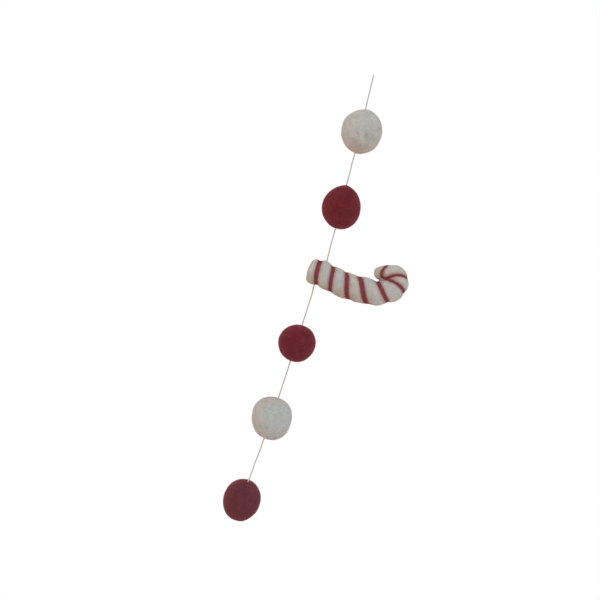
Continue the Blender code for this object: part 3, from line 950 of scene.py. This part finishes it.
def bend_radius(u):
    before = cane_sections(np.clip(u - BEND_REACH, 0, None))
    after = cane_sections(np.clip(u + BEND_REACH, None, CANE_LENGTH))
    turn = np.arccos(np.clip((before[1] * after[1]).sum(1), -1, 1))
    return np.linalg.norm(after[0] - before[0], axis=1) / np.maximum(turn, LEAST_TURN)


def valley(u, v):
    """How sunk the felt is: 1 under the roving and 0 half way between its turns."""
    turns = winding_at(v[:, None] + math.tau * np.arange(len(TURNS)))
    here = u[:, None]
    before = np.where(turns <= here, turns, -np.inf).max(1)
    after = np.where(turns > here, turns, np.inf).min(1)
    span = after - before
    span[np.isinf(span)] = VALLEY_SPAN
    share = np.minimum(np.minimum(u - before, after - u) / span, 0.5)
    return (np.cos(math.pi * share) ** 2) ** VALLEY_POWER


def cane_surface(u, v, inset=0.0, pressed=False):
    """Points of the cane's surface in mm, and the way out of it at each.

    Pressed, the felt inside the crook's bend reaches into the felt that it is pressed against.
    """
    centres, inside, halves = cane_sections(u)
    above, below, depth = halves.T
    if pressed:
        above = above + PINCH_OVERLAP * fade(u, *PINCH_STARTS) * (1 - fade(u, *PINCH_ENDS))
    above = np.minimum(above, (PINCH_SQUEEZE if pressed else BEND_SQUEEZE) * bend_radius(u))
    sunk = inset + VALLEY * valley(u, v)
    half = np.where(np.cos(v) > 0, above, below) - sunk
    deep = depth - sunk
    front = np.array((0.0, -1.0, 0.0))
    at = inside * (half * np.cos(v))[:, None] + front * (deep * np.sin(v))[:, None]
    out = inside * (np.cos(v) / half)[:, None] + front * (np.sin(v) / deep)[:, None]
    out = unit(out)
    from_string = np.linalg.norm(centres + at - np.array(way_through("candy_cane")[0]), axis=1)
    peak = PEAK * np.exp(-((from_string / PEAK_SPREAD) ** 2))
    return centres + at + out * peak[:, None], out


def rounded_ends(share):
    """Where along the cane each ring is, how far it is drawn in, and which ones the blunt end takes."""
    blunt = share < CAP_RINGS
    tip = share > 1 - CAP_RINGS
    middle = ~(blunt | tip)
    u = np.empty(len(share))
    inset = np.zeros(len(share))
    shaft = CANE_LENGTH - TIP_ROUNDING - BLUNT_ROUNDING
    u[middle] = BLUNT_ROUNDING + (share[middle] - CAP_RINGS) / (1 - 2 * CAP_RINGS) * shaft
    turn = (share[tip] - (1 - CAP_RINGS)) / CAP_RINGS * QUARTER
    u[tip] = CANE_LENGTH - TIP_ROUNDING * (1 - np.sin(turn))
    inset[tip] = TIP_ROUNDING * (1 - np.cos(turn))
    return u, inset, blunt


def soften(obj, name, times, share=None):
    """Smooths the felt, all of it or each corner by its share."""
    modifier = obj.modifiers.new(name, "SMOOTH")
    modifier.iterations = times
    if share is not None:
        group = obj.vertex_groups.new(name=name)
        for number in np.flatnonzero(share):
            group.add([int(number)], float(share[number]), "REPLACE")
        modifier.vertex_group = name


def near_crease(cane):
    """How near each corner is to the crease where the crook is pinched: 1 in it, 0 away from it."""
    start, end = np.array(CREASE)
    way = end - start
    off = corners(cane)[:, (0, 2)] / MM - start
    along = np.clip(off @ way / (way @ way), 0, 1)
    away = np.linalg.norm(off - along[:, None] * way, axis=1)
    return 1 - fade(away, *CREASE_REACH)


def make_cane(material):
    """A roll of wool needled firm and bent into a crook, white felt swelling between the stripes."""
    bpy.ops.object.select_all(action="DESELECT")
    bpy.ops.mesh.primitive_uv_sphere_add(segments=CANE_SIDES, ring_count=CANE_RINGS, radius=1)
    cane = bpy.context.object
    cane.name = cane.data.name = "white_cane"
    ball = corners(cane)
    share = np.arccos(np.clip(ball[:, 2], -1, 1)) / math.pi
    v = np.arctan2(ball[:, 1], ball[:, 0])
    u, inset, blunt = rounded_ends(share)
    places = np.zeros((len(ball), 3))
    places[~blunt] = cane_surface(u[~blunt], v[~blunt], inset[~blunt], pressed=True)[0]
    rim = cane_surface(np.full(blunt.sum(), BLUNT_ROUNDING), v[blunt])[0]
    places[blunt] = blunt_end(share[blunt] / CAP_RINGS, rim)
    move_corners(cane, places * MM)
    edit(cane, "SELECT")
    bpy.ops.mesh.normals_make_consistent(inside=False)
    leave_edit()
    skin = cane.modifiers.new("one_skin", "REMESH")
    skin.mode = "VOXEL"
    skin.voxel_size = VOXEL * MM
    soften(cane, "soften", SKIN_SMOOTHING)
    apply_modifiers(cane)
    soften(cane, "crease", CREASE_SMOOTHING, near_crease(cane))
    lump(cane, "cane_lumps", LUMPS, LUMP_HEIGHT)
    lump(cane, "cane_tufts", TUFTS, TUFT_HEIGHT)
    apply_modifiers(cane)
    finish_piece(cane, material, "white_felt", "candy_cane")
    return cane


def blunt_end(share, rim):
    """The blunt end, from the middle of its dome, 0, to where the shaft starts, 1."""
    centres = cane_sections(np.array([0.0, BLUNT_ROUNDING]))[0]
    back = centres[0] - centres[1]
    length = np.linalg.norm(back)
    off = rim - centres[1]
    reach = np.linalg.norm(off, axis=1, keepdims=True)
    way = off / reach
    dome = np.clip(share / DOME_SHARE, 0, 1)[:, None]
    turn = (np.clip((share - DOME_SHARE) / (1 - DOME_SHARE), 0, 1) * QUARTER)[:, None]
    out = dome * (reach - BLUNT_ROUNDING) + BLUNT_ROUNDING * np.sin(turn)
    past = length - BLUNT_ROUNDING * (1 - np.cos(turn)) + BLUNT_DOME * (1 - dome**2)
    return centres[1] + way * out + back / length * past


def crease(skin, x, z, side):
    """The place on the cane's skin at x and z, seen from the front, -1, or from behind, 1."""
    return skin.ray_cast(Vector((x, side * RAY_START, z)), Vector((0, -side, 0)))[0]


def nearest_of(places, spots):
    """For each spot, the number of the nearest place and how far off it is."""
    tree = KDTree(len(places))
    for number, place in enumerate(places):
        tree.insert(place, number)
    tree.balance()
    found = [tree.find(spot) for spot in spots]
    return np.array([hit[1] for hit in found]), np.array([hit[2] for hit in found])


def softened(rows):
    """The rows evened out along a strand."""
    share = np.ones(2 * STRAND_SOFTENED + 1) / (2 * STRAND_SOFTENED + 1)
    padded = [np.pad(row, STRAND_SOFTENED, "edge") for row in rows.T]
    return np.column_stack([np.convolve(row, share, "valid") for row in padded])


def strand_line(strand, skin):
    """A strand's line on the cane's skin, with the ways out and across and the widths along it."""
    steps = round((strand.stop - strand.start) / GUIDE_TURN)
    v = np.linspace(strand.start, strand.stop, steps + 1) * math.pi
    guides = [Vector(place) for place in cane_surface(winding_at(v), v)[0]]
    if strand.crease:
        guides.insert(0, crease(skin, *strand.crease, -1))
    guides.append(crease(skin, *BACK_CREASE, 1))
    far = lengths_along(guides)
    stops = np.linspace(0, far[-1], round(far[-1] / STRAND_STEP) + 1)
    places, out = [softened(rows) for rows in on_skin(skin, smooth(far, guides, stops))]
    turned = np.interp(stops / far[-1], (0, 1), (strand.start, strand.stop)) / 2
    width = np.interp(turned - FRONT_TURN, range(len(TURNS)), [turn.width for turn in TURNS])
    along = unit(np.gradient(places, axis=0))
    across = unit(np.cross(along, out))
    far = lengths_along(places)
    taper = fade(np.minimum(far, far[-1] - far), 0, STRAND_TAPER)
    width = strand.end_width + (width - strand.end_width) * taper
    return Line(far, places, np.cross(across, along), across, width)


def uneven(far, chance):
    """How much further out or in an uneven edge is, at places along it."""
    stops = np.arange(0, far[-1] + 2 * EDGE_WAVE, EDGE_WAVE)
    return np.interp(far, stops, EDGE_WOBBLE * chance.normal(0, 1, len(stops)))


def make_strand(node, line, skin, material, chance):
    """A flat strand of red roving, wound round the cane and needled down until it lies flush."""
    angles = np.arange(STRAND_SIDES) * math.tau / STRAND_SIDES
    right, left = uneven(line.far, chance), uneven(line.far, chance)
    half = line.width[:, None] / 2 + np.where(np.cos(angles) > 0, right[:, None], left[:, None])
    off = line.places[:, None] + line.across[:, None] * (half * np.cos(angles))[..., None]
    under, away = (rows.reshape(off.shape) for rows in on_skin(skin, off.reshape(-1, 3)))
    dome = STRAND_DOME * np.abs(np.sin(angles)) ** DOME_POWER
    height = np.where(np.sin(angles) > 0, dome, STRAND_DEPTH * np.sin(angles))
    piece = rolled_tube(node.replace("stripe", "roving"), under + away * height[:, None])
    spots = corners(piece) / MM
    nearest, _ = nearest_of(line.places, spots)
    aside = ((spots - line.places[nearest]) * line.across[nearest]).sum(1)
    paint(piece, "along", line.far[nearest])
    paint(piece, "across", aside)
    paint(piece, "to_edge", 2 * np.abs(aside) / line.width[nearest])
    finish_piece(piece, material, "red_roving", node)


def make_balls():
    for number, (node, wool) in enumerate(BALLS.items()):
        name = node.replace("ball", "felt_ball")
        red = node.endswith("red")
        slot = "red_felt" if red else "white_felt"
        sheen = RED_SHEEN if red else WHITE_SHEEN
        felt = wool_felt("wet_felted_wool_of_" + node, wool, sheen, swirled=node == SWIRLED)
        ball = make_ball(node, name, felt, slot)
        chance = np.random.default_rng(number)
        skin = skin_of(ball)
        line = fibre_lines(skin, *scattered(ball, FIBRES_ON_BALL, chance), FIBRE_LIFT, chance)
        sheen = RED_SHEEN if red else LOOSE_WHITE_SHEEN
        loose_fibres(name + "_fibres", line, loose_wool("loose_wool_of_" + node, wool[1], sheen), slot)


def white_fibres(cane, skin, roving, chance):
    """Loose white fibres all over the cane, clear of the roving."""
    starts, ways = scattered(cane, FIBRES_ON_CANE, chance)
    clear = nearest_of(roving.places, starts)[1] > FIBRES_CLEAR
    line = fibre_lines(skin, starts[clear], ways[clear], FIBRE_LIFT, chance)
    loose = loose_wool("loose_white_wool", WHITE_WOOL[1], LOOSE_WHITE_SHEEN)
    loose_fibres("white_cane_fibres", line, loose, "white_felt")


def roving_fibres(skin, roving, chance):
    """Loose red fibres at the roving's edges, nearly along it."""
    count = FIBRES_ON_ROVING
    chosen = chance.integers(len(roving.places), size=count)
    aside = chance.choice((-1, 1), (count, 1)) * chance.uniform(*ROVING_EDGE, (count, 1))
    starts = roving.places[chosen] + roving.across[chosen] * aside
    along = np.cross(roving.out, roving.across)[chosen]
    ways = unit(along + chance.normal(0, ROVING_STRAY, (count, 3)))
    line = fibre_lines(skin, starts, ways, ROVING_LIFT, chance)
    loose = loose_wool("loose_red_roving", "#883A44", ROVING_SHEEN)
    loose_fibres("roving_fibres", line, loose, "red_roving")


def make_candy_cane():
    cane = make_cane(wool_felt("needled_white_wool", WHITE_WOOL, WHITE_SHEEN, WHITE_TONES))
    red = needled_roving()
    skin = skin_of(cane)
    chance = np.random.default_rng(CANE_SEED)
    lines = [strand_line(strand, skin) for strand in STRANDS.values()]
    for node, line in zip(STRANDS, lines):
        make_strand(node, line, skin, red, chance)
    roving = Line(*map(np.concatenate, zip(*lines)))
    nearest, off = nearest_of(roving.places, corners(cane) / MM)
    # The cane's stains, its painted warm shade and the pinkish tint of the dye.
    paint_stains_and_shade(cane, "candy_cane", BLEED_STRENGTH * (1 - fade(off - roving.width[nearest] / 2, *BLEED)))
    white_fibres(cane, skin, roving, chance)
    roving_fibres(skin, roving, chance)


set_camera()
make_string()
set_stage()
set_light()
make_balls()
make_candy_cane()
bpy.context.scene.view_settings.view_transform = "Standard"
